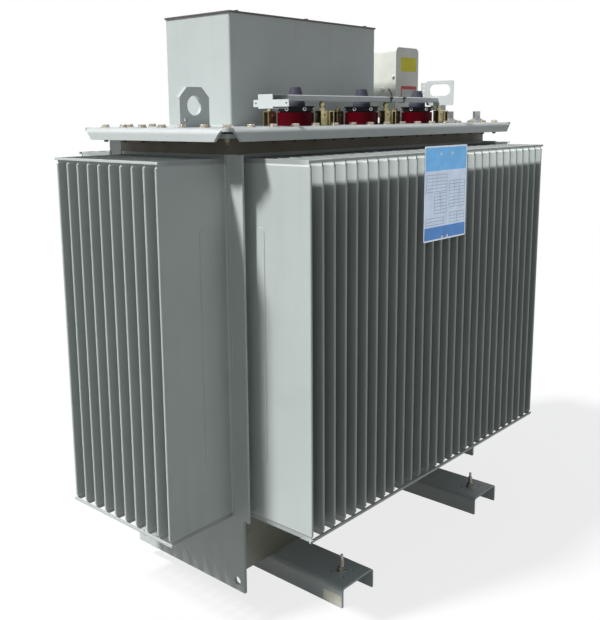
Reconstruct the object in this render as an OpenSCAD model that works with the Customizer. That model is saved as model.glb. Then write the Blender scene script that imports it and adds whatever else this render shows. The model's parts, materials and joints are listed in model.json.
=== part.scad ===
// Hermetically sealed oil transformer on two skids.
// Corrugated cooling walls, bolted lid, three plug-in high-voltage bushings under a
// locking bar, a low-voltage cable box and a protection relay.
// Origin: middle of the footprint, on the ground. Long side along X, rating plate on -Y.

/* [Tank] */
// Length of the tank over its end panels
tank_l = 1178; // [1120:1:1300]
// Width of the tank over its long panels
tank_w = 400; // [372:1:480]
// Height of the fins' lower ends above the ground
fin_bottom_z = 260; // [235:1:320]
// Thickness of the panel sheets behind the fins
sheet_t = 3; // [2:0.5:5]
// Plain margin of the panels above the fins
panel_head = 8; // [4:1:20]
// Margin of the end panels that stands out past the long panels
corner_margin = 48; // [20:1:70]
// Width of the hem along the free edges of the end panels
hem_w = 6; // [4:0.5:14]

/* [Fins] */
// Height of the fins
fin_h = 888; // [700:1:1000]
// Spacing of the fins
fin_pitch = 41.3; // [36:0.1:60]
// Thickness of a fin
fin_t = 7; // [5:0.5:10]
// Depth of the fins on the long sides
long_fin_d = 225; // [150:1:260]
// Depth of the fins on the ends
end_fin_d = 202; // [150:1:240]
// Radius of the fold between a fin and its panel
fold_r = 5; // [2:0.5:10]
// Plain margin beside the outermost fin of a long panel
long_fin_margin = 30; // [15:1:60]
// Plain margin beside the outermost fin of an end panel
end_fin_margin = 12; // [9:1:40]
// Height of the pressed seam at each end of a fin
seam_h = 14; // [11:1:24]
// Thickness of the pressed seam
seam_t = 3; // [2:0.5:4.5]
// Height over which a fin narrows to its seam
seam_slope = 4; // [2:0.5:8]
// Width of the stiffening bead pressed into a fin
bead_w = 25; // [10:1:40]
// Distance of the bead from the panel
bead_off = 60; // [30:1:80]
// Plain height of a fin above and below the bead
bead_end = 157; // [60:1:250]
// Height of the bead over the face of a fin
bead_h = 0.8; // [0.5:0.1:2]
// Height of the bars that tie the fin tips
bar_h = 6; // [4:0.5:10]
// Thickness of the tie bars
bar_t = 5; // [3:0.5:8]
// Length of a tie bar past the outermost fin
bar_over = 5; // [2:0.5:12]

/* [Lower tank] */
// Width of the flat floor of the tray
tray_floor_w = 276; // [200:1:340]
// Height of the tray's sloping sides
tray_slope_h = 143; // [90:1:170]
// Thickness of the towing plates
tow_t = 8; // [5:0.5:14]
// Width of the towing plates
tow_w = 424; // [400:1:480]
// Setback of the towing plates from the end panels
tow_setback = 14; // [5:1:30]
// Drop of the towing plates below the tray floor
tow_drop = 4; // [1:1:20]
// Diameter of the towing holes
tow_hole_d = 22; // [12:1:30]
// Distance of the towing holes from the plate's edges
tow_hole_inset = 26; // [20:1:45]

/* [Skids] */
// Distance between the skids' middles
skid_gauge = 670; // [520:1:820]
// Width of a skid
skid_w = 134; // [110:1:170]
// Height of a skid
skid_h = 55; // [45:1:75]
// Thickness of the skid sheet
skid_t = 6; // [4:0.5:10]
// Outer bend radius of a skid
skid_r = 12; // [11:0.5:20]
// Length of the skids
skid_l = 778; // [740:1:860]
// Distance of a roller stud from the skid's end
stud_inset = 54; // [42:1:90]
// Diameter of the roller studs
stud_d = 12; // [8:1:16]
// Height of the roller studs above the skid
stud_h = 48; // [40:1:60]
// Pitch circle of the locating holes round a stud
locate_pcd = 56; // [48:1:70]
// Diameter of the locating holes
locate_d = 9; // [5:0.5:14]
// Diameter of the washer under a stud's nut
washer_d = 26; // [22:1:32]
// Thickness of the washer
washer_t = 3; // [2:0.5:5]
// Width of the stud's nuts over their corners
stud_nut_w = 21; // [18:1:26]
// Height of the stud's nuts
stud_nut_h = 10; // [7:1:14]
// Diameter of the knob on top of a stud
knob_d = 8; // [6:0.5:11]
// Height of the knob
knob_h = 8; // [5:1:12]

/* [Rim and lid] */
// Height of the collar between the panels and the rim
collar_h = 38; // [25:1:60]
// Width of the rim outside the tank
rim_over = 52; // [30:1:54]
// Thickness of the rim
rim_t = 10; // [6:1:16]
// Thickness of the lid gasket
gasket_t = 5; // [3:1:8]
// Gap between the rim and the lid's edge at the ends
lid_clear_x = 10.5; // [4:0.5:20]
// Gap between the rim and the lid's edge along the sides
lid_clear_y = 13; // [4:0.5:20]
// Thickness of the lid
lid_t = 8; // [5:0.5:9]
// Height of the lid's turned-down edge
lid_edge_h = 30.5; // [24:0.5:42]
// Outer bend radius of the lid's edge
lid_r = 14; // [11:0.5:18]
// Corner gap of the turned-down edge at the top
notch_top = 18; // [15:1:30]
// Corner gap of the turned-down edge at the bottom
notch_low = 44; // [31:1:60]

/* [Lifting lugs] */
// Width of a lifting lug
lug_w = 95; // [80:1:110]
// Height of a lifting lug
lug_h = 96; // [85:1:120]
// Thickness of a lifting lug
lug_t = 12; // [8:1:20]
// Chamfer of a lug's upper corners
lug_chamfer = 24; // [12:1:30]
// Diameter of the lifting hole
lug_hole_d = 48; // [30:1:52]
// Height of the lifting hole above the lid
lug_hole_z = 52; // [45:1:58]
// Distance of a lug's middle from the lid's end
lug_inset = 114; // [100:1:130]
// Offset of the lugs from the middle line, on a diagonal
lug_offset = 37; // [0:1:60]
// Diameter of the small earthing hole in a lug
earth_d = 12; // [8:1:14]
// Distance of the earthing hole from the lug's foot and outer edge
earth_inset = 19; // [14:1:22]

/* [Low-voltage box] */
// Width of the cable box
lv_w = 247; // [200:1:256]
// Height of the cable box walls
lv_h = 282; // [200:1:360]
// Wall thickness of the cable box
lv_t = 3; // [2:0.5:6]
// Bend radius of the cable box corners
lv_r = 6; // [5:0.5:20]
// Gap between the left lug and the cable box
lv_gap = 77; // [60:1:90]
// Position of the cable box front behind the middle line
lv_front = -41; // [-60:1:-30]
// Thickness of the cover
cover_t = 4; // [2:0.5:8]
// Overhang of the cover past the box
cover_over = 3; // [1:0.5:8]
// Width of the inward flange under the cover
lv_flange = 25; // [15:1:40]
// Width of the cover bolt heads across their corners
cover_bolt_d = 12; // [8:0.5:16]
// Height of the cover bolt heads
cover_bolt_h = 4; // [2:0.5:8]
// Distance of the outer cover bolts from the ends of the box
cover_bolt_end = 37; // [20:1:80]
// Distance of the cover bolts from the long walls
cover_bolt_in = 12; // [8:0.5:20]

/* [Bushings] */
// Spacing of the bushings
bushing_pitch = 283; // [220:1:300]
// Distance of the bushings' middles from the lid's front edge
bushing_front = 135; // [120:1:150]
// Diameter of the resin base
base_d = 94; // [80:1:98]
// Height of the resin base
base_h = 34; // [24:1:44]
// Diameter of the clamping flange
flange_d = 90; // [70:1:94]
// Height of the clamping flange
flange_h = 16; // [8:1:24]
// Thickness of the ring on top of the flange
ring_t = 3; // [2:0.5:5]
// Overhang of the ring past the flange
ring_over = 4; // [1:0.5:5]
// Height of the groove between the base and the flange
groove_h = 3; // [1:0.5:5]
// Depth of the groove
groove_d = 4; // [1:0.5:8]
// Diameter of the cap's skirt
cap_d = 50; // [40:1:58]
// Height of the cap's straight skirt
cap_skirt_h = 7; // [3:1:12]
// Diameter of the cap's top
cap_top_d = 28; // [18:1:36]
// Height of the cap
cap_h = 48; // [36:1:60]

/* [Locking bar] */
// Height of the bar's underside above the lid
lock_z = 62; // [58:1:80]
// Depth of the bar's channel
lock_w = 20; // [14:1:24]
// Height of the bar's channel
lock_h = 15; // [10:1:22]
// Thickness of the bar's sheet
lock_t = 2; // [1:0.5:3]
// Outer bend radius of the bar
lock_r = 4; // [3.5:0.5:6]
// Reach of the bar past the left bushing's middle
lock_left = 109; // [100:1:140]
// Reach of the bar past the right bushing's middle
lock_right = 65; // [50:1:90]
// Length of the box at the bar's left end
sleeve_l = 55; // [30:1:80]
// Depth of the box at the bar's left end
sleeve_w = 48; // [40:1:60]
// Height of the box at the bar's left end
sleeve_h = 34; // [28:1:44]
// Height of the drilled ears
ear_h = 17; // [12:1:22]
// Height of the ears above the box's bottom
ear_z = 4; // [0:0.5:6]
// Length of the front ear
ear_front = 52; // [30:1:60]
// Length of the rear ear
ear_rear = 16; // [12:1:30]
// Diameter of the ear holes
ear_hole_d = 5; // [3:0.5:8]
// Distance of the ear holes from the ears' ends
ear_hole_inset = 8; // [6:0.5:10]

/* [Handle] */
// Distance of the handle plate from the right bushing's middle
handle_dx = 29; // [27:0.5:32]
// Width of the handle plate
handle_w = 95; // [85:1:110]
// Height of the handle plate
handle_h = 74; // [66:1:90]
// Drop of the handle plate below the bar
handle_drop = 8; // [5:0.5:10]
// Reach of the handle plate behind the bar's middle
handle_rear = 33; // [24:1:38]
// Corner radius of the handle plate
handle_r = 5; // [2:0.5:10]
// Length of the hand hole
hand_l = 74; // [60:1:80]
// Height of the hand hole
hand_h = 34; // [28:1:38]
// Height of the hand hole's middle above the bar's underside
hand_z = 38; // [34:1:42]
// Width of the drilled strip behind the handle plate
strip_w = 20; // [14:1:24]
// Height of the drilled strip
strip_h = 46; // [30:1:50]
// Diameter of the holes in the strip
strip_hole_d = 6; // [3:0.5:8]
// Height of the rail under the handle
rail_h = 17; // [10:1:20]
// Reach of the rail past the handle plate
rail_l = 88; // [40:1:100]
// Distance of the rail behind the bar's middle
rail_dy = 16; // [14:1:20]

/* [Clamps] */
// Distance of the clamps from a bushing's middle, along the lid and across it
clamp_off = 48; // [46:1:54]
// Length of a clamp
clamp_l = 28; // [20:1:30]
// Depth of a clamp
clamp_w = 20; // [16:1:22]
// Height of a clamp
clamp_h = 38; // [24:1:40]
// Thickness of the clamp strip
clamp_t = 3; // [2:0.5:5]
// Diameter of the clamp bolts
clamp_bolt_d = 8; // [6:1:10]
// Width of the clamp nuts over their corners
clamp_nut_w = 15; // [12:1:18]
// Height of the clamp nuts
clamp_nut_h = 7; // [5:1:9]
// Diameter of the holes in the clamps' front legs
clamp_hole_d = 6; // [4:0.5:9]
// Height of those holes above the lid
clamp_hole_z = 27; // [14:1:30]
// Diameter of the domed caps under the bar
dome_d = 14; // [12:1:18]
// Height of the domed caps
dome_h = 12; // [8:1:14]

/* [Relay] */
// Width of the relay
relay_w = 127; // [100:1:150]
// Depth of the relay's body
relay_d = 88; // [70:1:110]
// Depth of the relay's front cover
relay_front_d = 30; // [12:1:40]
// Height of the relay's housing
relay_h = 219; // [180:1:260]
// Corner radius of the relay
relay_r = 16; // [8:1:30]
// Gap between the cable box and the relay
relay_gap = 114; // [60:1:130]
// Gap between the relay and the right lug
relay_lug_gap = 63; // [40:1:80]
// Step of the relay's body behind its front cover
relay_step = 1.5; // [0.5:0.5:4]
// Diameter of the screws at the sides of the relay's cover
relay_screw_d = 10; // [6:0.5:14]
// Height of the screws above the relay's foot
relay_screw_z = 128; // [100:1:150]
// Diameter of the plug on the relay's left side
boss_d = 20; // [12:1:26]
// Height of the plug above the relay's foot
boss_z = 88; // [70:1:110]
// Distance of the plug behind the cover
boss_y = 24; // [18:1:50]
// Projection of the plug and the screws
boss_h = 5; // [2:0.5:8]
// Height of the relay's neck
neck_h = 18; // [8:1:30]
// Diameter of the relay's neck
neck_d = 80; // [50:1:90]

/* [Fittings] */
// Width of the rating plate
plate_w = 210; // [150:1:300]
// Height of the rating plate
plate_h = 248; // [150:1:300]
// Thickness of the rating plate
plate_t = 2; // [1:0.5:4]
// Rise of the rating plate above the fins
plate_rise = 15; // [0:1:30]
// Corner radius of the rating plate
plate_r = 5; // [2:0.5:12]
// Position of the rating plate along the side
plate_x = -9; // [-200:1:200]
// Distance of the filler plug from the lid's end
filler_inset = 92; // [80:1:110]
// Distance of the filler plug from the lid's front edge
filler_front = 87; // [80:1:100]
// Distance of the thermometer pocket from the lid's end
pocket_inset = 181; // [165:1:190]
// Diameter of the filler plug's flange
filler_d = 64; // [44:1:68]
// Diameter of the thermometer pocket's flange
pocket_d = 58; // [40:1:64]
// Height of the filler plug and the pocket
fitting_h = 36; // [24:1:50]
// Height of the lip round a fitting's flange
fitting_lip = 3; // [2:0.5:6]
// Height of a fitting's cone
cone_h = 14; // [8:1:18]
// Width of the fittings' hexagons over their corners
fitting_hex = 24; // [16:1:28]

/* [Hidden] */
$fn = 96;

tank_grey = "#9aa09d";
lid_grey = "#a4aaa7";
skid_grey = "#6d7475";
rubber_black = "#2b2b2e";
zinc_yellow = "#b8a55c";
resin_red = "#6e0a19";
relay_cream = "#e4e4d8";
bar_grey = "#b9bebe";
plate_blue = "#3f7fc4";

long_fins = floor((tank_l - 2 * long_fin_margin) / fin_pitch) + 1;
end_fins = floor((tank_w - 2 * end_fin_margin) / fin_pitch) + 1;
panel_h = fin_h + panel_head;
fin_top_z = fin_bottom_z + fin_h;
collar_z = fin_bottom_z + panel_h;
rim_z = collar_z + collar_h;
gasket_z = rim_z + rim_t;
lid_z = gasket_z + gasket_t + lid_t;
core_l = tank_l - 2 * sheet_t;
core_w = tank_w - 2 * sheet_t;
tow_x = tank_l / 2 - tow_setback;
tow_z = skid_h - tow_drop;
lid_l = tank_l + 2 * (rim_over + lid_clear_x + lid_t);
lid_w = tank_w + 2 * (rim_over + lid_clear_y + lid_t);
edge_strip = lid_r + lid_t;
lug_x = lid_l / 2 - lug_inset;
bushing_y = lid_w / 2 - bushing_front;
lv_x0 = -lug_x + lug_w / 2 + lv_gap;
lv_top = lid_z + lv_h;
relay_x0 = lug_x - lug_w / 2 - relay_lug_gap - relay_w;
lv_l = relay_x0 - relay_gap - lv_x0;
bar_y = -bushing_y - clamp_off;
bar_z = lid_z + lock_z;
bar_x0 = -bushing_pitch - lock_left;
bar_x1 = bushing_pitch + lock_right;
sleeve_z = bar_z + lock_h - sleeve_h;
handle_x = bushing_pitch + handle_dx;
relay_z = lid_z + neck_h;
stud_gauge = skid_l - 2 * stud_inset;
cut = 1;

// Rectangle with rounded corners, centred
module rounded_rect(l, w, r) {
    square([l - 2 * r, w], center = true);
    square([l, w - 2 * r], center = true);
    for (x = [-1, 1], y = [-1, 1])
        translate([x * (l / 2 - r), y * (w / 2 - r)])
            circle(r);
}

// Ring between two centred rectangles
module rect_ring(l, w, inner_l, inner_w) {
    difference() {
        square([l, w], center = true);
        square([inner_l, inner_w], center = true);
    }
}

// Plan of one fin: root folds, flat sides and a round tip, standing along +X
module fin_plan(depth) {
    translate([-sheet_t, -fin_t / 2])
        square([depth + sheet_t - fin_t / 2, fin_t]);
    translate([depth - fin_t / 2, 0])
        circle(fin_t / 2);
    difference() {
        translate([-sheet_t, -fin_t / 2 - fold_r])
            square([sheet_t + fold_r, fin_t + 2 * fold_r]);
        for (s = [-1, 1])
            translate([fold_r, s * (fin_t / 2 + fold_r)])
                circle(fold_r);
    }
}

// Pressed seam at one end of a fin, with the slope up to the full thickness
module fin_seam(depth) {
    rotate([90, 0, 90])
        linear_extrude(depth + sheet_t)
            polygon([
                [-seam_t / 2, 0], [seam_t / 2, 0],
                [seam_t / 2, seam_h - seam_slope], [fin_t / 2, seam_h],
                [-fin_t / 2, seam_h], [-seam_t / 2, seam_h - seam_slope]
            ]);
}

// Stiffening bead that stands out of both faces of a fin
module fin_bead() {
    bead_l = fin_h - 2 * bead_end;
    translate([bead_off + bead_w / 2, fin_t / 2 + bead_h, bead_end + bead_w / 2])
        rotate([90, 0, 0])
            linear_extrude(fin_t + 2 * bead_h) {
                translate([-bead_w / 2, 0])
                    square([bead_w, bead_l - bead_w]);
                for (z = [0, bead_l - bead_w])
                    translate([0, z])
                        circle(bead_w / 2);
            }
}

// One fin, standing along +X from its panel
module fin(depth) {
    seam_d = depth - min(bar_t, fin_t / 2);
    translate([0, 0, seam_h])
        linear_extrude(fin_h - 2 * seam_h)
            fin_plan(depth);
    fin_bead();
    translate([-sheet_t, 0, 0])
        fin_seam(seam_d);
    translate([-sheet_t, 0, fin_h])
        mirror([0, 0, 1])
            fin_seam(seam_d);
}

// Tie bars along the tips of a row of fins, at the top and at the bottom
module fin_bars(depth, count) {
    length = (count - 1) * fin_pitch + fin_t + 2 * bar_over;
    for (z = [0, fin_h - bar_h])
        translate([depth - bar_t, -length / 2, z])
            cube([bar_t, length, bar_h]);
}

// Panel sheet with its row of fins, notched for the tie bars
module panel(width, depth, count) {
    difference() {
        union() {
            translate([-sheet_t, -width / 2, 0])
                cube([sheet_t, width, panel_h]);
            for (i = [0 : count - 1])
                translate([0, (i - (count - 1) / 2) * fin_pitch, 0])
                    fin(depth);
        }
        fin_bars(depth, count);
    }
}

// End panel: hemmed margins, the rear one running up to the rim
module end_panel(rear) {
    width = tank_w + 2 * corner_margin;
    panel(width, end_fin_d, end_fins);
    for (s = [-1, 1])
        translate([-cut, s * (width - hem_w) / 2 - hem_w / 2, 0])
            cube([cut + sheet_t, hem_w, panel_h]);
    translate([-sheet_t, rear * (width - corner_margin) / 2 - corner_margin / 2, panel_h - cut])
        cube([sheet_t, corner_margin, collar_h + cut]);
}

// Places a panel or its bars on one side of the tank
module on_side(angle, distance) {
    rotate(angle)
        translate([distance, 0, fin_bottom_z])
            children();
}

module front_panel() {
    color(tank_grey)
        on_side(-90, tank_w / 2)
            panel(core_l, long_fin_d, long_fins);
}

module rear_panel() {
    color(tank_grey)
        on_side(90, tank_w / 2)
            panel(core_l, long_fin_d, long_fins);
}

module left_panel() {
    color(tank_grey)
        on_side(180, tank_l / 2)
            end_panel(-1);
}

module right_panel() {
    color(tank_grey)
        on_side(0, tank_l / 2)
            end_panel(1);
}

module front_fin_bars() {
    color(tank_grey)
        on_side(-90, tank_w / 2)
            fin_bars(long_fin_d, long_fins);
}

module rear_fin_bars() {
    color(tank_grey)
        on_side(90, tank_w / 2)
            fin_bars(long_fin_d, long_fins);
}

module left_fin_bars() {
    color(tank_grey)
        on_side(180, tank_l / 2)
            fin_bars(end_fin_d, end_fins);
}

module right_fin_bars() {
    color(tank_grey)
        on_side(0, tank_l / 2)
            fin_bars(end_fin_d, end_fins);
}

// Closed tank behind the panels, up to the rim
module tank_body() {
    color(tank_grey)
        translate([-core_l / 2, -core_w / 2, fin_bottom_z])
            cube([core_l, core_w, gasket_z - fin_bottom_z]);
}

// Folded tray under the tank, on the skids
module tank_tray() {
    length = 2 * (tow_x - tow_t);
    fold_z = skid_h + tray_slope_h;
    color(skid_grey)
        translate([-length / 2, 0, 0])
            rotate([90, 0, 90])
                linear_extrude(length)
                    polygon([
                        [-tray_floor_w / 2, skid_h], [tray_floor_w / 2, skid_h], [tank_w / 2, fold_z],
                        [tank_w / 2, fin_bottom_z], [-tank_w / 2, fin_bottom_z], [-tank_w / 2, fold_z]
                    ]);
}

// Towing plate that closes one end of the tray, for the end at +X
module tow_plate() {
    color(tank_grey)
        difference() {
            translate([tow_x - tow_t, -tow_w / 2, tow_z])
                cube([tow_t, tow_w, fin_bottom_z - tow_z]);
            for (s = [-1, 1])
                translate([tow_x - tow_t - cut, s * (tow_w / 2 - tow_hole_inset), tow_z + tow_hole_inset])
                    rotate([0, 90, 0])
                        cylinder(d = tow_hole_d, h = tow_t + 2 * cut);
        }
}

module left_tow_plate() {
    mirror([1, 0, 0])
        tow_plate();
}

module right_tow_plate() {
    tow_plate();
}

// Outline of a channel with its web on top
module channel_outline(w, h, r) {
    translate([-w / 2, 0])
        square([w, h - r]);
    translate([-w / 2 + r, 0])
        square([w - 2 * r, h]);
    for (s = [-1, 1])
        translate([s * (w / 2 - r), h - r])
            circle(r);
}

// Positions of the roller studs on one skid
module at_studs() {
    for (s = [-1, 1])
        translate([0, s * stud_gauge / 2, 0])
            children();
}

// Folded channel that carries the tank, drilled for the rollers
module skid() {
    color(skid_grey)
        difference() {
            rotate([90, 0, 0])
                linear_extrude(skid_l, center = true)
                    difference() {
                        channel_outline(skid_w, skid_h, skid_r);
                        translate([0, -cut])
                            channel_outline(skid_w - 2 * skid_t, skid_h - skid_t + cut, skid_r - skid_t);
                    }
            at_studs() {
                cylinder(d = stud_d, h = skid_h + cut);
                for (a = [45 : 90 : 315])
                    rotate(a)
                        translate([locate_pcd / 2, 0, 0])
                            cylinder(d = locate_d, h = skid_h + cut);
            }
        }
}

module left_skid() {
    translate([-skid_gauge / 2, 0, 0])
        skid();
}

module right_skid() {
    translate([skid_gauge / 2, 0, 0])
        skid();
}

// Threaded stud with a nut above and below the skid and a knob on top
module roller_stud() {
    taper_h = stud_d / 2;
    neck_z = skid_h + stud_h - knob_h - taper_h;
    foot_z = skid_h - skid_t - stud_nut_h - taper_h;
    color(zinc_yellow) {
        translate([0, 0, foot_z])
            cylinder(d = stud_d, h = neck_z - foot_z);
        translate([0, 0, neck_z])
            cylinder(d1 = stud_d, d2 = stud_d / 2, h = taper_h);
        translate([0, 0, neck_z + taper_h])
            cylinder(d1 = knob_d, d2 = stud_d / 2, h = knob_h);
        translate([0, 0, skid_h])
            cylinder(d = washer_d, h = washer_t);
        for (z = [skid_h + washer_t, skid_h - skid_t - stud_nut_h])
            translate([0, 0, z])
                cylinder(d = stud_nut_w, h = stud_nut_h, $fn = 6);
    }
}

module left_roller_studs() {
    translate([-skid_gauge / 2, 0, 0])
        at_studs()
            roller_stud();
}

module right_roller_studs() {
    translate([skid_gauge / 2, 0, 0])
        at_studs()
            roller_stud();
}

// Plain collar of the tank above the panels
module tank_collar() {
    color(tank_grey)
        translate([0, 0, collar_z])
            linear_extrude(collar_h)
                rect_ring(tank_l, tank_w, core_l, core_w);
}

// Flat rim that carries the lid
module rim_flange() {
    color(tank_grey)
        translate([0, 0, rim_z])
            linear_extrude(rim_t)
                rect_ring(tank_l + 2 * rim_over, tank_w + 2 * rim_over, core_l, core_w);
}

module lid_gasket() {
    color(rubber_black)
        translate([0, 0, gasket_z])
            linear_extrude(gasket_t)
                rect_ring(tank_l + 2 * rim_over, tank_w + 2 * rim_over, core_l, core_w);
}

// Section of the lid's turned-down edge, outer face at x = 0 and top at y = 0
module edge_profile() {
    difference() {
        union() {
            translate([lid_r, -lid_t])
                square([edge_strip - lid_r, lid_t]);
            translate([0, -lid_edge_h])
                square([lid_t, lid_edge_h - lid_r]);
            intersection() {
                translate([lid_r, -lid_r])
                    circle(lid_r);
                translate([0, -lid_r])
                    square(lid_r);
            }
        }
        translate([lid_r, -lid_r])
            circle(lid_r - lid_t);
    }
}

// One turned-down edge along X, its ends cut back at the corners
module lid_edge(length, width) {
    translate([0, -width / 2, lid_z])
        intersection() {
            translate([-length / 2, 0, 0])
                rotate([90, 0, 90])
                    linear_extrude(length)
                        edge_profile();
            rotate([90, 0, 0])
                linear_extrude(2 * edge_strip + 2 * cut, center = true)
                    polygon([
                        [-length / 2 + notch_low, -lid_edge_h], [length / 2 - notch_low, -lid_edge_h],
                        [length / 2 - notch_top, 0], [-length / 2 + notch_top, 0]
                    ]);
        }
}

module lid() {
    color(lid_grey) {
        translate([0, 0, lid_z - lid_t])
            linear_extrude(lid_t) {
                square([lid_l - 2 * lid_r, lid_w - 2 * notch_top], center = true);
                square([lid_l - 2 * notch_top, lid_w - 2 * lid_r], center = true);
                for (x = [-1, 1], y = [-1, 1])
                    translate([x * (lid_l / 2 - notch_top), y * (lid_w / 2 - notch_top)])
                        circle(notch_top - lid_t / 2);
            }
        for (a = [0, 180])
            rotate(a)
                lid_edge(lid_l, lid_w);
        for (a = [90, 270])
            rotate(a)
                lid_edge(lid_w, lid_l);
    }
}

// Lifting lug with chamfered upper corners, standing on the lid in the XZ plane
module lifting_lug() {
    color(tank_grey)
        translate([0, lug_t / 2, lid_z])
            rotate([90, 0, 0])
                linear_extrude(lug_t)
                    difference() {
                        polygon([
                            [-lug_w / 2, 0], [lug_w / 2, 0], [lug_w / 2, lug_h - lug_chamfer],
                            [lug_w / 2 - lug_chamfer, lug_h], [-lug_w / 2 + lug_chamfer, lug_h],
                            [-lug_w / 2, lug_h - lug_chamfer]
                        ]);
                        translate([0, lug_hole_z])
                            circle(d = lug_hole_d);
                        translate([-lug_w / 2 + earth_inset, earth_inset])
                            circle(d = earth_d);
                    }
}

module left_lifting_lug() {
    translate([-lug_x, -lug_offset, 0])
        lifting_lug();
}

module right_lifting_lug() {
    rotate(180)
        left_lifting_lug();
}

// Places what belongs to the cable box at the middle of its plan
module at_lv_box() {
    translate([lv_x0 + lv_l / 2, lv_front + lv_w / 2, 0])
        children();
}

// Outline of the cable box, drawn in by a margin
module lv_outline(margin) {
    rounded_rect(lv_l - 2 * margin, lv_w - 2 * margin, max(lv_r - margin, lv_t / 2));
}

// Cable box on the lid, open below, with an inward flange under its cover
module lv_box() {
    color(tank_grey)
        at_lv_box()
            translate([0, 0, lid_z]) {
                linear_extrude(lv_h)
                    difference() {
                        lv_outline(0);
                        lv_outline(lv_t);
                    }
                translate([0, 0, lv_h - lv_t])
                    linear_extrude(lv_t)
                        difference() {
                            lv_outline(0);
                            lv_outline(lv_flange);
                        }
            }
}

// Cover of the cable box with two rows of bolts
module lv_box_cover() {
    color(lid_grey)
        at_lv_box()
            translate([0, 0, lv_top]) {
                linear_extrude(cover_t)
                    rounded_rect(lv_l + 2 * cover_over, lv_w + 2 * cover_over, lv_r);
                for (i = [-1, 0, 1], s = [-1, 1])
                    translate([i * (lv_l / 2 - cover_bolt_end), s * (lv_w / 2 - cover_bolt_in), cover_t - cut])
                        cylinder(d = cover_bolt_d, h = cover_bolt_h + cut, $fn = 6);
            }
}

// Resin base of a bushing
module bushing_base(i) {
    color(resin_red)
        translate([i * bushing_pitch, -bushing_y, lid_z])
            cylinder(d = base_d, h = base_h);
}

// Clamping flange on the resin base, with a groove below and a ring on top
module bushing_flange(i) {
    color(rubber_black)
        translate([i * bushing_pitch, -bushing_y, lid_z + base_h]) {
            cylinder(d = flange_d - 2 * groove_d, h = groove_h);
            translate([0, 0, groove_h])
                cylinder(d = flange_d, h = flange_h - groove_h);
            translate([0, 0, flange_h - ring_t])
                cylinder(d = flange_d + 2 * ring_over, h = ring_t);
        }
}

// Tapered protective cap with a straight skirt
module bushing_cap(i) {
    color("#46464f")
        translate([i * bushing_pitch, -bushing_y, lid_z + base_h + flange_h])
            rotate_extrude()
                polygon([
                    [0, 0], [cap_d / 2, 0], [cap_d / 2, cap_skirt_h], [cap_top_d / 2, cap_h], [0, cap_h]
                ]);
}

// Inverted U of strip with its legs to the front and rear, the front leg drilled
module clamp_strip() {
    difference() {
        rotate([90, 0, 90])
            linear_extrude(clamp_l, center = true)
                difference() {
                    translate([-clamp_w / 2, 0])
                        square([clamp_w, clamp_h]);
                    translate([-clamp_w / 2 + clamp_t, -cut])
                        square([clamp_w - 2 * clamp_t, clamp_h - clamp_t + cut]);
                }
        translate([0, 0, clamp_hole_z])
            rotate([90, 0, 0])
                cylinder(d = clamp_hole_d, h = clamp_w);
    }
}

// Clamp bolt with its nut, from the top of a clamp up to a height above the lid
module clamp_bolt(top_z) {
    translate([0, 0, clamp_h - clamp_t])
        cylinder(d = clamp_bolt_d, h = top_z - clamp_h + clamp_t);
    translate([0, 0, clamp_h])
        cylinder(d = clamp_nut_w, h = clamp_nut_h, $fn = 6);
}

// Clamps of a bushing: one behind it on the left, and one in front on the right that
// stands beside a second strip and carries the locking bar on a domed cap
module bushing_clamps(i) {
    color(zinc_yellow)
        translate([i * bushing_pitch, -bushing_y, lid_z]) {
            translate([-clamp_off, clamp_off, 0]) {
                clamp_strip();
                clamp_bolt(clamp_h + clamp_nut_h + clamp_bolt_d / 2);
            }
            translate([clamp_off, -clamp_off, 0]) {
                clamp_strip();
                clamp_bolt(lock_z - dome_h);
                translate([0, 0, lock_z - dome_h])
                    cylinder(d = dome_d, h = dome_h / 2);
                translate([0, 0, lock_z - dome_h / 2])
                    cylinder(d1 = dome_d, d2 = clamp_bolt_d, h = dome_h / 2);
                translate([clamp_l / 2 + clamp_w / 2, 0, 0])
                    rotate(90)
                        clamp_strip();
            }
        }
}

module left_bushing_base() {
    bushing_base(-1);
}

module middle_bushing_base() {
    bushing_base(0);
}

module right_bushing_base() {
    bushing_base(1);
}

module left_bushing_flange() {
    bushing_flange(-1);
}

module middle_bushing_flange() {
    bushing_flange(0);
}

module right_bushing_flange() {
    bushing_flange(1);
}

module left_bushing_cap() {
    bushing_cap(-1);
}

module middle_bushing_cap() {
    bushing_cap(0);
}

module right_bushing_cap() {
    bushing_cap(1);
}

module left_bushing_clamps() {
    bushing_clamps(-1);
}

module middle_bushing_clamps() {
    bushing_clamps(0);
}

module right_bushing_clamps() {
    bushing_clamps(1);
}

// Channel in front of the bushing caps, open to the rear
module locking_bar() {
    color(bar_grey)
        translate([bar_x0, bar_y, bar_z + lock_h / 2])
            rotate([90, 0, 90])
                linear_extrude(bar_x1 - bar_x0)
                    difference() {
                        rounded_rect(lock_w, lock_h, lock_r);
                        rounded_rect(lock_w - 2 * lock_t, lock_h - 2 * lock_t, lock_r - lock_t);
                        translate([lock_r, -lock_h / 2 + lock_t])
                            square([lock_w, lock_h - 2 * lock_t]);
                    }
}

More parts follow.
